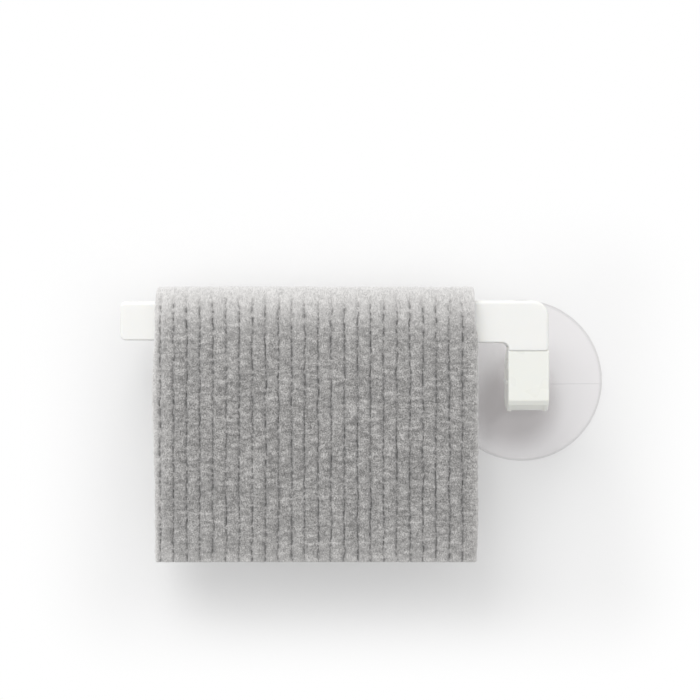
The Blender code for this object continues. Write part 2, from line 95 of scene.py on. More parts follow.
def colour_property(name, description, hex_colour):
    """A property that holds a colour."""
    return bpy.props.FloatVectorProperty(
        name=name, description=description, subtype="COLOR", default=linear(hex_colour)
    )


def add_node(tree, kind, inputs=None, **settings):
    """Adds a node with its settings. An input takes a value, or as a link an earlier node's output.

    A node given as an input stands for its first output in use.
    """
    node = tree.nodes.new(kind)
    for name, value in settings.items():
        setattr(node, name, value)
    for name, value in (inputs or {}).items():
        if isinstance(value, bpy.types.Node):
            value = next(output for output in value.outputs if output.enabled)
        if isinstance(value, bpy.types.NodeSocket):
            tree.links.new(value, node.inputs[name])
        else:
            node.inputs[name].default_value = value
    return node


def start_material(name):
    """An empty node material, and the function that adds a node to it."""
    material = bpy.data.materials.new(name)
    material.use_nodes = True
    material.node_tree.nodes.clear()
    return material, partial(add_node, material.node_tree)


def dress(node, material):
    """Gives a CAD node its material and smooth round surfaces."""
    flat_angle = math.radians(0.2)
    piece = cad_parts[node]
    for slot in piece.material_slots:
        slot.material = material
    rounding = piece.modifiers.new("Round surfaces", "NODES")
    rounding.node_group = round_surface_group()
    joining = piece.modifiers.new("Join flat facets", "DECIMATE")
    joining.decimate_type = "DISSOLVE"
    joining.angle_limit = flat_angle
    joining.delimit = {"SHARP"}
    weighting = piece.modifiers.new("Flat faces stay flat", "WEIGHTED_NORMAL")
    weighting.keep_sharp = True


def round_surface_group():
    """Joins a CAD mesh's facets and shades it smooth, except where it turns by more than the sharp angle."""
    name = "Round surfaces"
    if name in bpy.data.node_groups:
        return bpy.data.node_groups[name]
    sharp_angle = math.radians(32)
    join_distance = 0.002 * mm
    group = bpy.data.node_groups.new(name, "GeometryNodeTree")
    group.interface.new_socket("Geometry", in_out="INPUT", socket_type="NodeSocketGeometry")
    group.interface.new_socket("Geometry", in_out="OUTPUT", socket_type="NodeSocketGeometry")
    add = partial(add_node, group)
    source = add("NodeGroupInput")
    joined = add("GeometryNodeMergeByDistance", {"Geometry": source, "Distance": join_distance})
    smooth = add("GeometryNodeSetShadeSmooth", {"Geometry": joined, "Shade Smooth": True}, domain="FACE")
    angle = add("GeometryNodeInputMeshEdgeAngle")
    is_sharp = add(
        "FunctionNodeCompare",
        {"A": angle.outputs["Unsigned Angle"], "B": sharp_angle},
        data_type="FLOAT",
        operation="GREATER_THAN",
    )
    edges = add(
        "GeometryNodeSetShadeSmooth",
        {"Geometry": smooth, "Selection": is_sharp, "Shade Smooth": False},
        domain="EDGE",
    )
    add("NodeGroupOutput", {"Geometry": edges})
    return group


class MouldingSettings(bpy.types.PropertyGroup):
    """The white plastics: arm, lever and plunger."""

    arm_colour: colour_property("Arm colour", "Colour of the arm's ABS", "#F5F5F2")
    lever_colour: colour_property("Lever colour", "Colour of the lever's ABS", "#F2F3ED")
    plunger_colour: colour_property("Plunger colour", "Colour of natural acetal", "#ECECE6")
    grain: length_property("Grain", "Size of the mould's spark-eroded grain", 0.4 * mm)
    flow_mark: length_property("Flow marks", "Size of the clouds that the flowing plastic leaves", 9 * mm)
    edge_softness: length_property("Edge softness", "Radius that the light sees on sharp edges", 0.15 * mm)


class PinSettings(bpy.types.PropertyGroup):
    """The two steel pins."""

    colour: colour_property("Colour", "Colour of stainless steel", "#C6C5C2")
    grinding_pitch: length_property("Grinding marks", "Distance between grinding marks", 0.12 * mm)


class CupSettings(bpy.types.PropertyGroup):
    """The clear suction cup. Its outer radius and depth come from the frame."""

    colour: colour_property("Tint", "Tint of the clear PVC", "#F9F8F8")
    # Painted shadow: the tint of a darker patch painted low in the cup's middle
    painted_shade_colour: colour_property("Painted shadow", "Tint painted low in the PVC's middle as shadow", "#D7D4D4")
    contact_ring: length_property("Contact ring", "Width of the flat ring on the wall", 7.0 * mm)
    hollow_depth: length_property("Hollow depth", "Depth of the hollow under the dome", 1.8 * mm)
    rim_thickness: length_property("Rim thickness", "Thickness at the rim", 1.2 * mm)
    rim_bead: length_property("Rim bead", "Width of the bead round the rim", 1.3 * mm)
    rim_edge: length_property("Rim edge radius", "Rounding of the rim's edges", 0.3 * mm)
    rim_groove: length_property("Rim groove", "Depth of the groove inside the bead", 0.25 * mm)
    plate: length_property("Plate thickness", "Thickness where the dome begins", 2.0 * mm)
    shoulder_radius: length_property("Shoulder radius", "Radius of the shoulder under the foot", 9.5 * mm)
    shoulder_depth: length_property("Shoulder depth", "How far the shoulder stands off the wall", 8.6 * mm)
    boss_radius: length_property("Boss radius", "Radius of the boss round the plunger", 6.2 * mm)
    pocket_radius: length_property("Pocket radius", "Radius of the plunger flange's pocket", 4.7 * mm)
    pocket_front: length_property("Pocket front", "Distance of the pocket's front from the wall", 8.7 * mm)
    pocket_back: length_property("Pocket back", "Distance of the pocket's back from the wall", 6.9 * mm)
    stem_bore: length_property("Stem bore", "Radius of the hole for the plunger's stem", 3.3 * mm)
    segments: bpy.props.IntProperty(name="Segments", description="Facets round the cup", default=192)


class ClothSettings(bpy.types.PropertyGroup):
    """The doubled ribbed dishcloth. Its drops and its outer faces come from the frame."""

    light_fibre: colour_property("Light fibres", "Colour of the pale fibres", "#C6C4C2")
    mid_fibre: colour_property("Middle fibres", "Colour of most fibres", "#858381")
    dark_fibre: colour_property("Dark fibres", "Colour of the dark fibres", "#464442")
    # Painted shade: the colour that darkens the stitched grooves
    groove_shade_colour: colour_property("Groove", "Painted shade deep in the stitched grooves", "#181614")
    # Painted light: the paler colour painted over the bar, at the fold and at the edges
    sheen_paint_colour: colour_property("Painted sheen", "Colour of painted light over the bar, at the fold and at the edges", "#DEDCDA")
    width: length_property("Folded width", "Width of the cloth, folded once", 118.6 * mm)
    thickness: length_property("Thickness", "Thickness of both layers together", 4.6 * mm)
    layer_gap: length_property("Layer gap", "Gap between the two layers", 0.2 * mm)
    rib_pitch: length_property("Rib pitch", "Distance between the stitched seams", 4.822 * mm)
    first_seam: length_property("First seam", "From the folded edge to the first seam", 2.1 * mm)
    rib_depth: length_property("Groove depth", "Depth of the stitched grooves", 1.1 * mm)
    stitch: length_property("Stitch", "Size of the dark gaps between stitches", 1.1 * mm)
    row_pitch: length_property("Row pitch", "Distance between the mesh rows", 0.85 * mm)
    fibre: length_property("Fibre tufts", "Size of the tufts that the eye sees", 0.45 * mm)


class StageSettings(bpy.types.PropertyGroup):
    """The wall, the room light, the lamp and the camera."""

    wall_colour: colour_property("Wall colour", "Colour of the white wall", "#FAFAFA")
    camera_distance: length_property("Camera distance", "From the camera to the wall", 0.65)
    wall_glow: bpy.props.FloatProperty(
        name="Wall glow", description="Share of plain white in what is seen of the wall", subtype="FACTOR",
        default=0.04,
    )
    light_from_above: bpy.props.FloatProperty(
        name="Light from above", description="Strength of the room light straight down", default=0.8
    )
    light_from_sides: bpy.props.FloatProperty(
        name="Light from the sides", description="Strength of the room light along the floor", default=0.9
    )
    light_from_below: bpy.props.FloatProperty(
        name="Light from below", description="Strength of the room light straight up", default=0.48
    )
    lamp_light: bpy.props.FloatProperty(
        name="Lamp light", description="How bright the lamp makes white that faces it", default=0.38
    )
    lamp_distance: length_property("Lamp distance", "From the lamp to the holder", 0.9)
    lamp_side: length_property("Lamp side", "Side length of the soft lamp", 0.55)


def white_abs(name, colour, roughness, settings):
    """ABS, injection moulded in a tool with a fine spark-eroded grain.

    The eye gets a satin white whose highlights break up slightly, with faint clouds where the plastic flowed.
    """
    material, add = start_material(name)
    cloud_shade, cloud_light = 0.988, 1.01
    gloss_spread = 0.03
    grain_depth = settings.grain / 20
    place = add("ShaderNodeTexCoord").outputs["Object"]
    flow = add("ShaderNodeTexNoise", {"Vector": place, "Scale": 1 / settings.flow_mark, "Detail": 1.0})
    grain = add("ShaderNodeTexNoise", {"Vector": place, "Scale": 1 / settings.grain, "Detail": 2.0})
    tint = add(
        "ShaderNodeMix",
        {
            "Factor": flow,
            "A": opaque(c * cloud_shade for c in colour),
            "B": opaque(min(1.0, c * cloud_light) for c in colour),
        },
        data_type="RGBA",
    )
    gloss = add(
        "ShaderNodeMapRange",
        {"Value": flow, "To Min": roughness - gloss_spread, "To Max": roughness + gloss_spread},
    )
    edges = add("ShaderNodeBevel", {"Radius": settings.edge_softness}, samples=6)
    skin = add(
        "ShaderNodeBump", {"Height": grain, "Strength": 0.35, "Distance": grain_depth, "Normal": edges}
    )
    shader = add(
        "ShaderNodeBsdfPrincipled",
        {
            "Base Color": tint,
            "Roughness": gloss,
            "IOR": 1.53,
            "Subsurface Weight": 0.35,
            "Subsurface Radius": (1.0, 0.95, 0.85),
            "Subsurface Scale": 1.2 * mm,
            "Normal": skin,
        },
    )
    add("ShaderNodeOutputMaterial", {"Surface": shader})
    return material


def turned_acetal(settings):
    """Acetal, turned from rod: a waxy white, smoother than the mouldings, with fine rings from the tool."""
    material, add = start_material("Natural acetal, turned")
    ring_pitch = 0.25 * mm
    ring_depth = ring_pitch / 12
    bands_per_scale = 3  # how many bands a wave texture of scale 1 has in a metre
    place = add("ShaderNodeTexCoord").outputs["Object"]
    rings = add(
        "ShaderNodeTexWave",
        {"Vector": place, "Scale": 1 / ring_pitch / bands_per_scale, "Distortion": 1.5, "Detail": 2.0},
        bands_direction="Y",
    ).outputs["Fac"]
    skin = add("ShaderNodeBump", {"Height": rings, "Strength": 0.25, "Distance": ring_depth})
    gloss = add("ShaderNodeMapRange", {"Value": rings, "To Min": 0.24, "To Max": 0.34})
    shader = add(
        "ShaderNodeBsdfPrincipled",
        {"Base Color": opaque(settings.plunger_colour), "Roughness": gloss, "IOR": 1.48, "Normal": skin},
    )
    add("ShaderNodeOutputMaterial", {"Surface": shader})
    return material


def ground_stainless(settings):
    """Stainless steel wire, ground to size: bright, with fine marks round it that stretch the highlight."""
    material, add = start_material("Stainless steel, ground")
    mark_stretch = (1.0, 0.12, 0.12)
    mark_depth = settings.grinding_pitch / 20
    place = add("ShaderNodeTexCoord").outputs["Object"]
    along = add("ShaderNodeVectorMath", {0: place, 1: mark_stretch}, operation="MULTIPLY")
    marks = add(
        "ShaderNodeTexNoise", {"Vector": along, "Scale": 1 / settings.grinding_pitch, "Detail": 4.0}
    )
    gloss = add("ShaderNodeMapRange", {"Value": marks, "To Min": 0.14, "To Max": 0.36})
    skin = add("ShaderNodeBump", {"Height": marks, "Strength": 0.3, "Distance": mark_depth})
    shader = add(
        "ShaderNodeBsdfPrincipled",
        {"Base Color": opaque(settings.colour), "Metallic": 1.0, "Roughness": gloss, "Normal": skin},
    )
    add("ShaderNodeOutputMaterial", {"Surface": shader})
    return material


def clear_pvc(settings):
    """Soft clear PVC, moulded in a polished tool: glassy but a little milky, with a faint darker line on its
    right half.

    The lamp and scattered light pass straight through it, so that the wall behind it stays bright.
    A darker patch low in its middle, a little to the left, is painted shadow: it stands for the shadows of
    the lever and the cloth that gather in the thick PVC there.
    """
    material, add = start_material("Clear soft PVC, polished mould")
    haze_size = 5.0 * mm
    haze_depth = haze_size / 60
    line_half, line_height = 0.14 * mm, -1.3 * mm
    line_strength = 0.6
    rim_shade = 0.82
    rim_start = cup_high.x - settings.rim_edge * 4.4
    rim_full = cup_high.x - settings.rim_edge * 0.8
    # Where the painted shadow lies: a patch low in the middle, a little to the left
    shade_patch_centre = (-3.0 * mm, 0.0, -10.0 * mm)
    shade_patch_core, shade_patch_reach = 9.0 * mm, 21.0 * mm
    place = add("ShaderNodeTexCoord").outputs["Object"]
    haze = add("ShaderNodeTexNoise", {"Vector": place, "Scale": 1 / haze_size, "Detail": 3.0})
    gloss = add("ShaderNodeMapRange", {"Value": haze, "To Min": 0.04, "To Max": 0.13})
    axes = add("ShaderNodeSeparateXYZ", {"Vector": place}).outputs
    # A faint darker line across the cup's right half
    near_line = add("ShaderNodeMath", {0: axes["Z"], 1: line_height, 2: line_half}, operation="COMPARE")
    right_half = add("ShaderNodeMath", {0: axes["X"], 1: 0.0}, operation="GREATER_THAN")
    on_line = add("ShaderNodeMath", {0: near_line, 1: right_half}, operation="MULTIPLY")
    flat = add("ShaderNodeCombineXYZ", {"X": axes["X"], "Z": axes["Z"]})
    radius = add("ShaderNodeVectorMath", {0: flat}, operation="LENGTH")
    at_rim = add(
        "ShaderNodeMapRange",
        {"Value": radius, "From Min": rim_start, "From Max": rim_full},
        interpolation_type="SMOOTHSTEP",
    )
    from_shade_patch = add("ShaderNodeVectorMath", {0: flat, 1: shade_patch_centre}, operation="DISTANCE")
    painted_shade = add(
        "ShaderNodeMapRange",
        {"Value": from_shade_patch, "From Min": shade_patch_core, "From Max": shade_patch_reach, "To Min": 1.0, "To Max": 0.0},
        interpolation_type="SMOOTHSTEP",
    )
    marked = add("ShaderNodeMath", {0: on_line, 1: line_strength, 2: at_rim}, operation="MULTIPLY_ADD")
    tint = add(
        "ShaderNodeMix",
        {"Factor": marked, "A": opaque(settings.colour), "B": opaque(c * rim_shade for c in settings.colour)},
        data_type="RGBA",
    )
    # The painted shadow darkens the tint there
    shaded_tint = add(
        "ShaderNodeMix",
        {"Factor": painted_shade, "A": tint, "B": opaque(settings.painted_shade_colour)},
        data_type="RGBA",
    )
    skin = add("ShaderNodeBump", {"Height": haze, "Strength": 0.15, "Distance": haze_depth})
    glass = add(
        "ShaderNodeBsdfPrincipled",
        {"Base Color": shaded_tint, "Roughness": gloss, "IOR": 1.53, "Transmission Weight": 1.0, "Normal": skin},
    )
    open_path = add("ShaderNodeBsdfTransparent", {"Color": (0.97, 0.965, 0.97, 1.0)})
    path = add("ShaderNodeLightPath").outputs
    scattered = add(
        "ShaderNodeMath", {0: path["Is Shadow Ray"], 1: path["Is Diffuse Ray"]}, operation="MAXIMUM"
    )
    mixed = add("ShaderNodeMixShader", {0: scattered, 1: glass, 2: open_path})
    add("ShaderNodeOutputMaterial", {"Surface": mixed})
    return material


def stitched_cloth(settings):
    """Cotton and viscose fleece, stitched in ribs: matt, heathered grey, with pale tufts; painted shade
    darkens the seams.

    Tufts are drawn at about half a millimetre, because single fibres are too fine to show. A sheen stands for
    the fibres that catch light at the bend, and a paler colour there and at the edges is painted light.
    """
    material, add = start_material("Ribbed fleece, stitched")
    strand_size, pucker_size, cloud_size = 2.5 * settings.fibre, settings.fibre / 0.22, 22 * settings.fibre
    strand_share, pucker_share, cloud_share = 0.4, 0.22, 0.09
    strand_stretch, pucker_stretch, gap_stretch = (1.0, 0.45, 1.0), (0.55, 1.3, 1.0), (1.0, 0.7, 1.0)
    sheen_streak_contrast, sheen_streak_base, sheen_lost_in_grooves = 1.7, 0.15, -0.9
    nap_depth = 0.6 * settings.fibre
    cut = add("ShaderNodeAttribute", attribute_name="place_on_cut").outputs["Vector"]
    # This attribute carries the painted shade in the stitched grooves
    seam = add("ShaderNodeAttribute", attribute_name="seam").outputs["Fac"]
    # This attribute carries painted light: paler over the bar, where light falls from above, and at the fold
    # and edges, where it grazes
    painted_sheen_share = add("ShaderNodeAttribute", attribute_name="painted_sheen").outputs["Fac"]
    tufts = add(
        "ShaderNodeTexNoise",
        {"Vector": cut, "Scale": 1 / settings.fibre, "Detail": 3.0, "Roughness": 0.6, "Distortion": 0.6},
    )
    strand_at = add("ShaderNodeVectorMath", {0: cut, 1: strand_stretch}, operation="MULTIPLY")
    strands = add(
        "ShaderNodeTexNoise",
        {"Vector": strand_at, "Scale": 1 / strand_size, "Detail": 2.0, "Roughness": 0.6, "Distortion": 2.5},
    )
    clouds = add("ShaderNodeTexNoise", {"Vector": cut, "Scale": 1 / cloud_size, "Detail": 2.0})
    gap_at = add("ShaderNodeVectorMath", {0: cut, 1: gap_stretch}, operation="MULTIPLY")
    # The painted shade in the grooves comes and goes with the gaps between stitches
    gaps = add("ShaderNodeTexNoise", {"Vector": gap_at, "Scale": 1 / settings.stitch, "Detail": 1.5})
    shaded_gaps = add(
        "ShaderNodeMapRange", {"Value": gaps, "From Min": 0.43, "From Max": 0.55, "To Min": 0.15}
    )
    groove_shade_mask = add("ShaderNodeMath", {0: seam, 1: shaded_gaps}, operation="MULTIPLY")
    blend = add("ShaderNodeMix", {"Factor": strand_share, "A": tufts, "B": strands}, data_type="FLOAT")
    pucker_at = add("ShaderNodeVectorMath", {0: cut, 1: pucker_stretch}, operation="MULTIPLY")
    puckers = add("ShaderNodeTexNoise", {"Vector": pucker_at, "Scale": 1 / pucker_size, "Detail": 1.0})
    puckered = add("ShaderNodeMix", {"Factor": pucker_share, "A": blend, "B": puckers}, data_type="FLOAT")
    cloudy = add("ShaderNodeMix", {"Factor": cloud_share, "A": puckered, "B": clouds}, data_type="FLOAT")
    fibres = add("ShaderNodeValToRGB", {"Fac": cloudy})
    stops = fibres.color_ramp.elements
    for stop, place, shade in zip(stops, (0.4, 0.6), (settings.dark_fibre, settings.light_fibre)):
        stop.position = place
        stop.color = opaque(shade)
    stops.new(0.5).color = opaque(settings.mid_fibre)
    # Painted shade darkens the stitched grooves
    colour = add(
        "ShaderNodeMix",
        {"Factor": groove_shade_mask, "A": fibres, "B": opaque(settings.groove_shade_colour)},
        data_type="RGBA",
    )
    # The painted light is streaky, and mostly left out of the grooves
    uneven = add("ShaderNodeMath", {0: strands, 1: sheen_streak_contrast, 2: sheen_streak_base}, operation="MULTIPLY_ADD")
    on_ribs = add("ShaderNodeMath", {0: groove_shade_mask, 1: sheen_lost_in_grooves, 2: 1.0}, operation="MULTIPLY_ADD")
    sheen_streaks = add("ShaderNodeMath", {0: uneven, 1: on_ribs}, operation="MULTIPLY")
    painted_sheen_amount = add("ShaderNodeMath", {0: painted_sheen_share, 1: sheen_streaks}, operation="MULTIPLY", use_clamp=True)
    paled = add(
        "ShaderNodeMix",
        {"Factor": painted_sheen_amount, "A": colour, "B": opaque(settings.sheen_paint_colour)},
        data_type="RGBA",
    )
    nap = add("ShaderNodeBump", {"Height": cloudy, "Strength": 0.9, "Distance": nap_depth})
    shader = add(
        "ShaderNodeBsdfPrincipled",
        {
            "Base Color": paled,
            "Roughness": 0.95,
            "IOR": 1.45,
            "Sheen Weight": 1.0,
            "Sheen Roughness": 0.7,
            "Sheen Tint": (0.95, 0.95, 0.95, 1.0),
            "Normal": nap,
        },
    )
    add("ShaderNodeOutputMaterial", {"Surface": shader})
    return material


def smooth_step(value, start, end):
    """0 before start, 1 after end, and smooth between them, also where end is the smaller."""
    share = np.clip((value - start) / (end - start), 0, 1)
    return share * share * (3 - 2 * share)


def signed_power(value, power):
    """A power that keeps the sign of its base."""
    return math.copysign(abs(value) ** power, value)


def arc(centre, radius, first, last, steps):
    """Points on an arc of the cup's section. Its first and last angle are in degrees."""
    turns = [math.radians(first + (last - first) * k / steps) for k in range(steps + 1)]
    return [(centre[0] + radius * math.cos(turn), centre[1] + radius * math.sin(turn)) for turn in turns]


def cup_section(settings):
    """The cup's section as (radius, distance from the wall), from the middle of its wall side to its boss."""
    radius = cup_high.x
    ring = radius - settings.contact_ring
    front = -cup_low.y
    edge = settings.rim_edge
    hollow_steps, rim_steps, groove_steps, dome_steps, corner_steps = 24, 5, 6, 36, 4
    hollow_curve = 1.3
    plate_reach = 0.4  # the share of the dome over which it thickens from the rim to the plate
    points = []
    for k in range(hollow_steps + 1):
        share = k / hollow_steps
        points.append((ring * share, settings.hollow_depth * (1 - share**2) ** hollow_curve))
    points += arc((radius - edge, edge), edge, -90, 0, rim_steps)
    points += arc((radius - edge, settings.rim_thickness - edge), edge, 0, 90, rim_steps)
    bead_inner = radius - settings.rim_bead
    groove_radius = bead_inner - settings.rim_bead / 2
    for k in range(groove_steps + 1):
        dip = (1 - math.cos(math.pi * k / groove_steps)) / 2
        along = bead_inner + (groove_radius - bead_inner) * k / groove_steps
        points.append((along, settings.rim_thickness - settings.rim_groove * dip))
    shoulder = settings.shoulder_radius
    span = groove_radius - shoulder
    low = settings.rim_thickness - settings.rim_groove
    for k in range(1, dome_steps):
        share = 1 - k / dome_steps
        lift = (settings.plate - low) * float(smooth_step(1 - share, 0, plate_reach))
        rise = (settings.shoulder_depth - settings.plate) * (1 - share) ** 2
        points.append((shoulder + span * share, low + lift + rise))
    points += arc((shoulder - edge, settings.shoulder_depth - edge), edge, 0, 90, corner_steps)
    points.append((settings.boss_radius + edge, settings.shoulder_depth))
    points += arc((settings.boss_radius - edge, front - edge), edge, 0, 90, corner_steps)
    points += arc((settings.stem_bore + edge, front - edge), edge, 90, 180, corner_steps)
    points += [
        (settings.stem_bore, settings.pocket_front),
        (settings.pocket_radius, settings.pocket_front),
        (settings.pocket_radius, settings.pocket_back),
        (0.0, settings.pocket_back),
    ]
    return points


def turned_mesh(name, section, segments):
    """A mesh turned about the Y axis from (radius, distance from the wall). Its ends lie on the axis."""
    sharp_angle = math.radians(50)
    builder = bmesh.new()
    turns = [2 * math.pi * k / segments for k in range(segments)]
    rows = []
    for radius, distance in section:
        places = [(radius * math.cos(t), -distance, radius * math.sin(t)) for t in turns]
        rows.append([builder.verts.new(place) for place in (places if radius else places[:1])])
    for lower, upper in zip(rows, rows[1:]):
        for k in range(segments):
            n = (k + 1) % segments
            corners = [row[i % len(row)] for row, i in ((lower, k), (lower, n), (upper, n), (upper, k))]
            builder.faces.new(list(dict.fromkeys(corners)))
    bmesh.ops.recalc_face_normals(builder, faces=builder.faces)
    mesh = bpy.data.meshes.new(name)
    builder.to_mesh(mesh)
    builder.free()
    mesh.shade_smooth()
    mesh.set_sharp_from_angle(angle=sharp_angle)
    return mesh


def superellipse_point(half_depth, rise, angle, squareness):
    """A point on the bend over the bar, from the front (0) over the top to the back (pi)."""
    across = -signed_power(math.cos(angle), 2 / squareness)
    return half_depth * across, rise * math.sin(angle) ** (2 / squareness)


def evenly_along(points, count):
    """The polyline through points, as count + 1 points at even distances."""
    points = np.array(points)
    reach = np.concatenate([[0], np.cumsum(np.linalg.norm(np.diff(points, axis=0), axis=1))])
    wanted = np.linspace(0, reach[-1], count + 1)
    return np.stack([np.interp(wanted, reach, points[:, axis]) for axis in (0, 1)], axis=1)


def drape_course(settings):
    """The cloth's course from the front hem over the bar to the back hem, for its inside and its outside.

    Both are arrays of (y, z) rows. The rows lie closer together at the hems, whose edges are rounded.
    """
    lump_room = 0.35 * mm
    hem_difference = 4.05 * mm
    shoulder = arm_top - 8.5 * mm
    lining_shoulder = arm_top - 1.8 * mm
    outer_squareness, lining_squareness = 2.25, 3.0
    round_share = 0.8  # the bend's length as a share of the three sides of its box
    hem_steps = [0.0, 0.12 * mm, 0.35 * mm, 0.7 * mm]
    first_full_row = 1.2 * mm
    bend_steps = 400
    middle = (cloth_low.y + cloth_high.y) / 2
    outer_half = (cloth_high.y - cloth_low.y) / 2 - lump_room
    inner_half = outer_half - settings.thickness
    front_hem = cloth_low.z
    back_hem = front_hem + hem_difference
    apex = cloth_high.z
    lining_apex = apex - settings.thickness

    def over_bar(half, start, top, squareness):
        angles = [math.pi * k / bend_steps for k in range(bend_steps + 1)]
        bend = [superellipse_point(half, top - start, angle, squareness) for angle in angles]
        return [(middle + across, start + up) for across, up in bend]

    outer_bend = over_bar(outer_half, shoulder, apex, outer_squareness)
    inner_bend = [
        (middle - inner_half, shoulder),
        *over_bar(inner_half, lining_shoulder, lining_apex, lining_squareness),
        (middle + inner_half, shoulder),
    ]
    reach = 2 * (outer_half + apex - shoulder) * round_share
    bend_count = int(reach / settings.row_pitch)
    front = hem_steps + list(np.arange(first_full_row, shoulder - front_hem, settings.row_pitch))
    back = hem_steps + list(np.arange(first_full_row, shoulder - back_hem, settings.row_pitch))
    inner = [(middle - inner_half, front_hem + up) for up in front]
    outer = [(middle - outer_half, front_hem + up) for up in front]
    inner += list(evenly_along(inner_bend, bend_count))
    outer += list(evenly_along(outer_bend, bend_count))
    inner += [(middle + inner_half, back_hem + up) for up in reversed(back)]
    outer += [(middle + outer_half, back_hem + up) for up in reversed(back)]
    return np.array(inner, float), np.array(outer, float)


def noise_field(first, second, layer):
    """Smooth noise from about -1 to 1 at every pair of coordinates. Each layer has a pattern of its own."""
    first, second = np.broadcast_arrays(first, second)
    places = zip(first.ravel().tolist(), second.ravel().tolist())
    return np.array([noise.noise(Vector((a, b, layer))) for a, b in places]).reshape(first.shape)


def section_columns(settings):
    """The columns of one row of the doubled cloth, from its outer cut edge round the fold to the lining's.

    across is the place from the fold's edge, level runs from 0 at the lining to 1 at the outside, and the
    outward direction is split over both. along is the place on the flat cut, seams the number of the nearest
    stitched groove, and off_seam the distance to it.
    """
    pitch = settings.rib_pitch
    column_shares = [0.0, 0.07, 0.15, 0.29, 0.5, 0.71, 0.85, 0.93]
    lining_shares = [0.0, 0.2, 0.8]
    half = settings.thickness / 2
    fold_round, fold_squareness, fold_steps = 1.2 * mm, 3.2, 12
    edge_round, edge_steps = 0.8 * mm, 4
    ribs = range(-1, int(settings.width / pitch) + 1)

    def rib_places(shares):
        places = [settings.first_seam + pitch * (k + share) for k in ribs for share in shares]
        return [a for a in places if fold_round < a < settings.width - edge_round]

    cut_edge = []
    for k in range(edge_steps):
        turn = math.pi / 2 * k / edge_steps
        side, up = math.cos(turn), math.sin(turn)
        inset = edge_round / settings.thickness * (1 - up)
        cut_edge.append((settings.width - edge_round * (1 - side), inset, side, up))
    rows = [(a, 1 - inset, side, up) for a, inset, side, up in cut_edge]
    rows += [(a, 1.0, 0.0, 1.0) for a in reversed(rib_places(column_shares))]
    for k in range(1, fold_steps):
        turn = math.pi / 2 + math.pi * k / fold_steps
        side, up = (signed_power(part, 2 / fold_squareness) for part in (math.cos(turn), math.sin(turn)))
        steepness = fold_squareness - 1
        slopes = (signed_power(side, steepness) / fold_round, signed_power(up, steepness) / half)
        rows.append((fold_round * (1 + side), 0.5 + 0.5 * up, *Vector(slopes).normalized()))
    rows += [(a, 0.0, 0.0, -1.0) for a in rib_places(lining_shares)]
    rows += [(a, inset, side, -up) for a, inset, side, up in reversed(cut_edge)]

    # Columns are added near the end of the lining until the slot's columns come out even.
    while (len(rows) - 1) % slot_stride:
        near_end = len(rows) - 2 * edge_steps
        new = tuple((p + q) / 2 for p, q in zip(rows[near_end], rows[near_end + 1]))
        rows.insert(near_end + 1, new)
    across, level, out_x, out_level = np.array(rows).T
    steps = np.hypot(np.diff(across), np.diff(level) * settings.thickness)
    along = np.concatenate([[0], np.cumsum(steps)])
    seams = np.round((across - settings.first_seam) / pitch)
    off_seam = across - settings.first_seam - seams * pitch
    return across, level, out_x, out_level, along, seams, off_seam


def cloth_edges(height):
    """How far the left and right edges stand out from their straight lines, by height on the cloth."""
    bulge, bulge_height, bulge_reach = 1.1 * mm, -6.6 * mm, 22 * mm
    left = bulge * np.exp(-(((height - bulge_height) / bulge_reach) ** 2))
    right_overhang = 0.3 * mm
    drawn_in_over_bar = 1.3 * mm * smooth_step(height, 15 * mm, 23 * mm)
    drawn_in_at_hem = 0.5 * mm * smooth_step(height, -50 * mm, -64 * mm)
    return left, right_overhang - drawn_in_over_bar - drawn_in_at_hem


def seam_relief(settings, across, seams, off_seam, drop, calm):
    """Each seam's own stitches: how far they wander, how deep they sink the skin, and how much painted shade
    darkens them.
    """
    wander = 0.4 * mm
    pull_mean, pull_swing, stitch_swing, pull_least = 0.62, 0.7, 0.6, 0.15
    groove_half, groove_swing = 0.54 * mm, 0.38 * mm
    cut_margin, cut_blend = 0.9 * mm, 2.2 * mm
    beside_depth = 0.2 * mm
    groove_shade_least = 0.7

    def by_seam(step, size, layer):
        """Noise that changes from seam to seam and along each."""
        return noise_field(seams[None, :] * step, drop / size, layer)

    shift = wander * by_seam(7.3, 9 * mm, 0.0) + wander * by_seam(3.7, 3 * mm, 5.0)
    pull = pull_mean + pull_swing * by_seam(5.1, 7 * mm, 9.0) + stitch_swing * by_seam(2.3, 2.2 * mm, 4.0)
    pull = np.clip(pull, pull_least, 1.0)
    half_width = groove_half + groove_swing * by_seam(8.9, 3.4 * mm, 11.0)
    away_from_cut = smooth_step(across, settings.width - cut_margin, settings.width - cut_blend)[None, :]
    groove = np.exp(-((off_seam[None, :] / half_width) ** 2)) * away_from_cut
    beside = np.clip(1 - np.abs(off_seam) / (settings.rib_pitch / 2), 0, 1)[None, :] ** 2
    sunk = (settings.rib_depth * groove * pull + beside_depth * beside) * calm
    # Painted shade in the grooves, deeper where the stitches pull harder
    groove_shade = groove * (groove_shade_least + (1 - groove_shade_least) * pull) * calm
    return shift, sunk, groove_shade


def painted_sheen(settings, across, height, hem_distance):
    """How much painted light pales the cloth: most over the bar, as light from above, and at the fold and the
    edges, as sheen.
    """
    most = 0.75
    # Painted top light over the bar; painted sheen at the fold, the cut edge and the hem
    over_bar = 0.56 * smooth_step(height, 13.5 * mm, 33.5 * mm)
    below_bar = 0.07 * smooth_step(height, -5 * mm, 14 * mm)
    near_hem = 0.2 * np.exp(-hem_distance / (8 * mm))
    at_fold = 0.8 * np.exp(-across / (2 * mm))[None, :]
    at_cut = 0.4 * np.exp((across - settings.width) / (1.2 * mm))[None, :]
    at_hem = 0.35 * np.exp(-hem_distance / mm)
    return np.clip(over_bar + below_bar + near_hem + at_fold + at_cut + at_hem, 0, most)


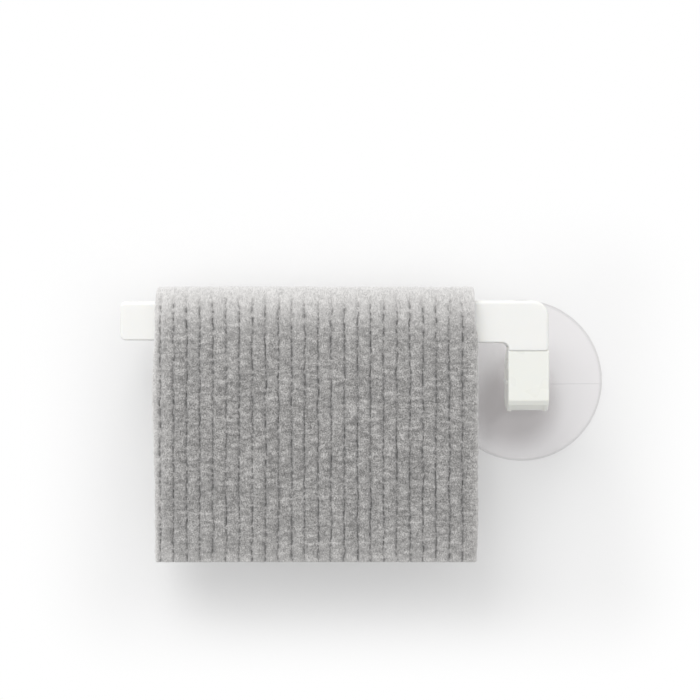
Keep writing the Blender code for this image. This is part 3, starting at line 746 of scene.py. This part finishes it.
def cloth_mesh(settings):
    """The doubled cloth as one closed mesh: a skin right round both layers, and the slot between them."""
    inner, outer = drape_course(settings)
    across, level, out_x, out_level, along, seams, off_seam = section_columns(settings)
    left_edge = (cloth_low.x + cloth_high.x) / 2 - settings.width / 2
    middle_course = (inner + outer) / 2
    length = np.concatenate([[0], np.cumsum(np.linalg.norm(np.diff(middle_course, axis=0), axis=1))])
    through = outer - inner
    depth_here = np.linalg.norm(through, axis=1)[:, None]
    inner_y, inner_z = inner.T[:, :, None]
    out_y, out_z = (through / depth_here).T[:, :, None]
    drop = length[:, None]
    place = along[None, :]
    height = outer[:, 1][:, None]
    over_bend = smooth_step(height, arm_top - 4 * mm, arm_top + 3 * mm)
    hem_distance = np.minimum(length, length[-1] - length)[:, None]
    smoothed_by_bend = 0.85
    calm = 1 - smoothed_by_bend * over_bend
    seam_shift, sunk, groove_shade = seam_relief(settings, across, seams, off_seam, drop, calm)

    def relief(depth, width, reach, layer, places):
        """Lumps by their depth, their width across the cloth and their reach down it."""
        return depth * noise_field(places / width, drop / reach, layer)

    # The fleece is lumpy, and the layers breathe in and out slightly along the drape.
    tufts = relief(0.16 * mm, 2.3 * mm, 2.3 * mm, 1.0, place)
    bulges = relief(0.20 * mm, 8 * mm, 11 * mm, 2.0, place)
    puckers = relief(0.22 * mm, 4.4 * mm, 2 * mm, 7.0, place) * calm
    lumps = tufts + bulges + puckers
    swell = relief(0.30 * mm, 30 * mm, 40 * mm, 3.0, across[None, :])
    lining_groove = 0.35
    outside = (out_level > 0)[None, :]
    lift = np.where(outside, lumps + swell * level[None, :] - sunk, -lining_groove * sunk - np.abs(lumps))
    hem_round = 0.9 * mm
    near_hem = np.clip(1 - hem_distance / hem_round, 0, 1)
    lift = lift - hem_round * (1 - np.sqrt(1 - near_hem**2))

    # From the section's own places to the world. The right edge is ragged like the left, but further on.
    ragged_column, rows_further = 4.4, 31
    left_reach, right_reach = 0.9 * settings.first_seam, 0.6 * settings.rib_pitch
    bow_left, bow_right = cloth_edges(height)
    ragged = 0.22 * mm * noise_field(ragged_column, drop / (5 * mm), layer=6.0)
    at_left = np.clip(1 - across / left_reach, 0, 1)[None, :]
    at_right = np.clip(1 - (settings.width - across) / right_reach, 0, 1)[None, :]
    shift = seam_shift * (1 - at_left) * (1 - at_right)
    x_edges = (ragged - bow_left) * at_left + (bow_right - np.roll(ragged, rows_further, axis=0)) * at_right
    x = left_edge + across[None, :] + x_edges + shift + lift * out_x[None, :]
    depth = level[None, :] * depth_here + lift * out_level[None, :]
    crest_wave = 0.45 * mm * noise_field(across / (26 * mm), 0.0, layer=8.0)[None, :] * over_bend
    z = inner_z + out_z * depth + crest_wave * level[None, :]
    skin = np.stack([x, inner_y + out_y * depth, z], axis=2)

    # The slot between the layers gapes a little at the cut edges.
    picked = slice(None, None, slot_stride)
    side = np.sign(out_level[picked])[None, :]
    gape = 0.25 * mm * smooth_step(across[None, picked] / settings.width, 0.9, 1.0)
    slot_half = settings.layer_gap / 2 + gape
    slot_depth = depth_here / 2 + side * slot_half
    slot_x = np.maximum(x[:, picked], left_edge + settings.thickness / 2 - slot_half)
    slot = np.stack([slot_x, inner_y + out_y * slot_depth, inner_z + out_z * slot_depth], axis=2)
    on_cut = np.stack(np.broadcast_arrays(place, drop, 0.0), axis=2)
    # The slot between the layers takes an even painted shade and none of the painted light
    slot_shade, slot_sheen = 0.6, 0.0
    painted_sheen_share = painted_sheen(settings, across, height, hem_distance)
    marks = {"seam": (groove_shade, slot_shade), "painted_sheen": (painted_sheen_share, slot_sheen)}
    return weave_faces(skin, slot, on_cut, settings.thickness / 2, marks)


def weave_faces(skin, slot, on_cut, slot_inset, marks):
    """Joins the skin and the slot into one closed mesh, and stores each point's place on the flat cut.

    slot_inset is how far the slot lies inside the skin. marks holds what else is stored: a name, with its
    values on the skin and its one value in the slot.
    """
    rows, columns = skin.shape[:2]
    slot_columns = slot.shape[1]
    points = np.concatenate([skin.reshape(-1, 3), slot.reshape(-1, 3)])
    on_skin = np.arange(rows * columns).reshape(rows, columns).tolist()
    on_slot = np.arange(rows * columns, len(points)).reshape(rows, slot_columns).tolist()
    faces = []
    for skin_row, skin_next, slot_row, slot_next in zip(on_skin, on_skin[1:], on_slot, on_slot[1:]):
        for c in range(columns - 1):
            faces.append((skin_row[c], skin_row[c + 1], skin_next[c + 1], skin_next[c]))
        for c in range(slot_columns - 1):
            faces.append((slot_row[c], slot_next[c], slot_next[c + 1], slot_row[c + 1]))
        faces.append((skin_row[0], skin_next[0], slot_next[0], slot_row[0]))
        faces.append((skin_row[-1], slot_row[-1], slot_next[-1], skin_next[-1]))
    for c in range(slot_columns - 1):
        hem = slice(slot_stride * c, slot_stride * (c + 1) + 1)
        faces.append((*reversed(on_skin[0][hem]), on_slot[0][c], on_slot[0][c + 1]))
        faces.append((*on_skin[-1][hem], on_slot[-1][c + 1], on_slot[-1][c]))
    mesh = bpy.data.meshes.new("ribbed_dishcloth")
    mesh.from_pydata(points.tolist(), [], faces)
    builder = bmesh.new()
    builder.from_mesh(mesh)
    bmesh.ops.recalc_face_normals(builder, faces=builder.faces)
    builder.to_mesh(mesh)
    builder.free()
    mesh.shade_smooth()
    slot_on_cut = on_cut[:, ::slot_stride] + (0, 0, slot_inset)
    places = np.concatenate([on_cut.ravel(), slot_on_cut.ravel()])
    mesh.attributes.new("place_on_cut", "FLOAT_VECTOR", "POINT").data.foreach_set("vector", places)
    for name, (skin_values, slot_value) in marks.items():
        values = np.concatenate([skin_values.ravel(), np.full(rows * slot_columns, slot_value)])
        mesh.attributes.new(name, "FLOAT", "POINT").data.foreach_set("value", values)
    return mesh


class HOLDER_OT_finish_mouldings(bpy.types.Operator):
    """Gives the arm's two mouldings, the lever and the plunger their plastics"""

    bl_idname = "holder.finish_mouldings"
    bl_label = "Finish mouldings"

    def execute(self, context):
        settings = context.scene.holder_mouldings
        arm_roughness, lever_roughness = 0.36, 0.28
        arm_plastic = white_abs("White ABS, fine grain", settings.arm_colour, arm_roughness, settings)
        lever_plastic = white_abs("White ABS, semi-gloss", settings.lever_colour, lever_roughness, settings)
        dress("arm_front_shell", arm_plastic)
        dress("arm_back_frame", arm_plastic)
        dress("lever", lever_plastic)
        dress("plunger", turned_acetal(settings))
        return {"FINISHED"}


class HOLDER_OT_finish_pins(bpy.types.Operator):
    """Gives the pivot pin and the cross pin their steel"""

    bl_idname = "holder.finish_pins"
    bl_label = "Finish pins"

    def execute(self, context):
        steel = ground_stainless(context.scene.holder_pins)
        dress("lever_pivot_pin", steel)
        dress("plunger_cross_pin", steel)
        return {"FINISHED"}


class HOLDER_OT_make_cup(bpy.types.Operator):
    """Makes the clear suction cup"""

    bl_idname = "holder.make_cup"
    bl_label = "Make suction cup"

    def execute(self, context):
        settings = context.scene.holder_cup
        mesh = turned_mesh("clear_cup", cup_section(settings), settings.segments)
        mesh.materials.append(clear_pvc(settings))
        cup = bpy.data.objects.new("clear_cup", mesh)
        context.scene.collection.objects.link(cup)
        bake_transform(cup)
        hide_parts("suction_cup")
        return {"FINISHED"}


class HOLDER_OT_drape_cloth(bpy.types.Operator):
    """Makes the doubled ribbed dishcloth over the bar"""

    bl_idname = "holder.drape_cloth"
    bl_label = "Drape dishcloth"

    def execute(self, context):
        settings = context.scene.holder_cloth
        mesh = cloth_mesh(settings)
        mesh.materials.append(stitched_cloth(settings))
        cloth = bpy.data.objects.new("ribbed_dishcloth", mesh)
        context.scene.collection.objects.link(cloth)
        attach(cloth, "cloth")
        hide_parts("dishcloth")
        return {"FINISHED"}


class HOLDER_OT_set_stage(bpy.types.Operator):
    """Sets the white wall, the room light, the soft lamp and the camera"""

    bl_idname = "holder.set_stage"
    bl_label = "Set stage"

    def execute(self, context):
        settings = context.scene.holder_stage
        make_wall(settings)
        make_room_light(settings)
        make_lamp(settings)
        make_camera(settings)
        return {"FINISHED"}


def make_wall(settings):
    """A large flat wall just behind the cup."""
    gap = 0.3 * mm
    half_side = 2.0
    builder = bmesh.new()
    bmesh.ops.create_grid(builder, x_segments=1, y_segments=1, size=half_side)
    mesh = bpy.data.meshes.new("wall")
    builder.to_mesh(mesh)
    builder.free()
    wall = bpy.data.objects.new("wall", mesh)
    wall.location = (0, gap, 0)
    wall.rotation_euler = (math.radians(90), 0, 0)
    bpy.context.scene.collection.objects.link(wall)
    mesh.materials.append(matt_paint(settings))


def matt_paint(settings):
    """Matt emulsion, rolled: an even white that takes the holder's soft shadows.

    It shows from the front only and gives the holder no light back. Outside a box round the holder it fades
    to the background's plain white.
    """
    box_centre = (-61 * mm, 0, -22.5 * mm)
    box_half = (91 * mm, 1.0, 53.5 * mm)
    fade_width = 42 * mm
    material, add = start_material("Matt white wall paint")
    surface = add("ShaderNodeNewGeometry").outputs
    offset = add("ShaderNodeVectorMath", {0: surface["Position"], 1: box_centre}, operation="SUBTRACT")
    either_side = add("ShaderNodeVectorMath", {0: offset}, operation="ABSOLUTE")
    past_edge = add("ShaderNodeVectorMath", {0: either_side, 1: box_half}, operation="SUBTRACT")
    outside = add("ShaderNodeVectorMath", {0: past_edge, 1: (0.0, 0.0, 0.0)}, operation="MAXIMUM")
    distance = add("ShaderNodeVectorMath", {0: outside}, operation="LENGTH")
    fade = add(
        "ShaderNodeMapRange", {"Value": distance, "From Max": fade_width}, interpolation_type="SMOOTHSTEP"
    )
    path = add("ShaderNodeLightPath").outputs
    glow = add("ShaderNodeMath", {0: path["Is Camera Ray"], 1: settings.wall_glow}, operation="MULTIPLY")
    whiter = add("ShaderNodeMapRange", {"Value": fade, "To Min": glow})
    paint = add("ShaderNodeBsdfDiffuse", {"Color": opaque(settings.wall_colour)})
    white = add("ShaderNodeEmission", plain_white)
    shown = add("ShaderNodeMixShader", {0: whiter, 1: paint, 2: white})
    seen = seen_by_eye(add, path)
    front = add("ShaderNodeMath", {0: seen, 1: surface["Backfacing"]}, operation="SUBTRACT", use_clamp=True)
    nothing = add("ShaderNodeBsdfTransparent")
    mixed = add("ShaderNodeMixShader", {0: front, 1: nothing, 2: shown})
    add("ShaderNodeOutputMaterial", {"Surface": mixed})
    return material


def seen_by_eye(add, path):
    """1 for what is seen straight on, in a reflection or through the cup, and 0 for what only gives light."""
    straight = add(
        "ShaderNodeMath", {0: path["Is Camera Ray"], 1: path["Is Glossy Ray"]}, operation="MAXIMUM"
    )
    return add("ShaderNodeMath", {0: straight, 1: path["Is Transmission Ray"]}, operation="MAXIMUM")


def make_room_light(settings):
    """Room light that is strongest from the sides and weakest from below, with a plain white background."""
    world = bpy.data.worlds.new("Room")
    bpy.context.scene.world = world
    world.use_nodes = True
    world.node_tree.nodes.clear()
    add = partial(add_node, world.node_tree)
    direction = add("ShaderNodeTexCoord").outputs["Generated"]
    up = add("ShaderNodeSeparateXYZ", {"Vector": direction}).outputs["Z"]
    below = add(
        "ShaderNodeMapRange",
        {
            "Value": up,
            "From Min": -1.0,
            "From Max": 0.0,
            "To Min": settings.light_from_below,
            "To Max": settings.light_from_sides,
        },
    )
    above = add(
        "ShaderNodeMapRange", {"Value": up, "To Max": settings.light_from_above - settings.light_from_sides}
    )
    level = add("ShaderNodeMath", {0: below, 1: above}, operation="ADD")
    room = add("ShaderNodeBackground", plain_white | {"Strength": level})
    white = add("ShaderNodeBackground", plain_white)
    seen = seen_by_eye(add, add("ShaderNodeLightPath").outputs)
    mixed = add("ShaderNodeMixShader", {0: seen, 1: room, 2: white})
    add("ShaderNodeOutputWorld", {"Surface": mixed})


def make_lamp(settings):
    """One large soft lamp above, in front and to the left."""
    target = Vector((-60 * mm, 0, -10 * mm))
    direction = Vector((-0.32, -0.62, 0.78)).normalized()
    light = bpy.data.lights.new("Soft lamp", "AREA")
    light.shape = "SQUARE"
    light.size = settings.lamp_side
    light.energy = settings.lamp_light * math.pi**2 * settings.lamp_distance**2
    lamp = bpy.data.objects.new("Soft lamp", light)
    lamp.location = target + direction * settings.lamp_distance
    lamp.rotation_euler = (-direction).to_track_quat("-Z", "Y").to_euler()
    bpy.context.scene.collection.objects.link(lamp)


def make_camera(settings):
    """The photograph's camera: square on to the wall, a little below the level of the bar's underside."""
    scene = bpy.context.scene
    data = bpy.data.cameras.new("Camera")
    across = (image_side / 2 - cup_centre_pixel[0]) * wall_metres_per_pixel
    up = (cup_centre_pixel[1] - image_side / 2) * wall_metres_per_pixel
    data.lens = data.sensor_width * settings.camera_distance / (image_side * wall_metres_per_pixel)
    camera = bpy.data.objects.new("Camera", data)
    camera.location = (across, -settings.camera_distance, up)
    camera.rotation_euler = (math.radians(90), 0, 0)
    scene.collection.objects.link(camera)
    scene.camera = camera
    scene.view_settings.view_transform = "Standard"


class HOLDER_PT_panel(bpy.types.Panel):
    """Lists the holder's operators and what they read"""

    bl_idname = "HOLDER_PT_panel"
    bl_label = "Dishcloth holder"
    bl_space_type = "VIEW_3D"
    bl_region_type = "UI"
    bl_category = "Holder"

    def draw(self, context):
        for settings, (_, operator) in SETTINGS.items():
            box = self.layout.box()
            box.operator(operator)
            group = getattr(context.scene, settings)
            for name in group.bl_rna.properties.keys():
                if name not in ("rna_type", "name"):
                    box.prop(group, name)


# The settings by their name in the scene, with the operator that reads them
SETTINGS = {
    "holder_stage": (StageSettings, "holder.set_stage"),
    "holder_mouldings": (MouldingSettings, "holder.finish_mouldings"),
    "holder_pins": (PinSettings, "holder.finish_pins"),
    "holder_cup": (CupSettings, "holder.make_cup"),
    "holder_cloth": (ClothSettings, "holder.drape_cloth"),
}
CLASSES = (
    *(group for group, operator in SETTINGS.values()),
    HOLDER_OT_finish_mouldings,
    HOLDER_OT_finish_pins,
    HOLDER_OT_make_cup,
    HOLDER_OT_drape_cloth,
    HOLDER_OT_set_stage,
    HOLDER_PT_panel,
)


def register():
    for cls in CLASSES:
        bpy.utils.register_class(cls)
    for name, (group, _) in SETTINGS.items():
        setattr(bpy.types.Scene, name, bpy.props.PointerProperty(type=group))


def unregister():
    for name in SETTINGS:
        delattr(bpy.types.Scene, name)
    for cls in reversed(CLASSES):
        bpy.utils.unregister_class(cls)


def main():
    register()
    bpy.ops.holder.set_stage()
    bpy.ops.holder.finish_mouldings()
    bpy.ops.holder.finish_pins()
    bpy.ops.holder.make_cup()
    bpy.ops.holder.drape_cloth()


if __name__ == "__main__":
    main()
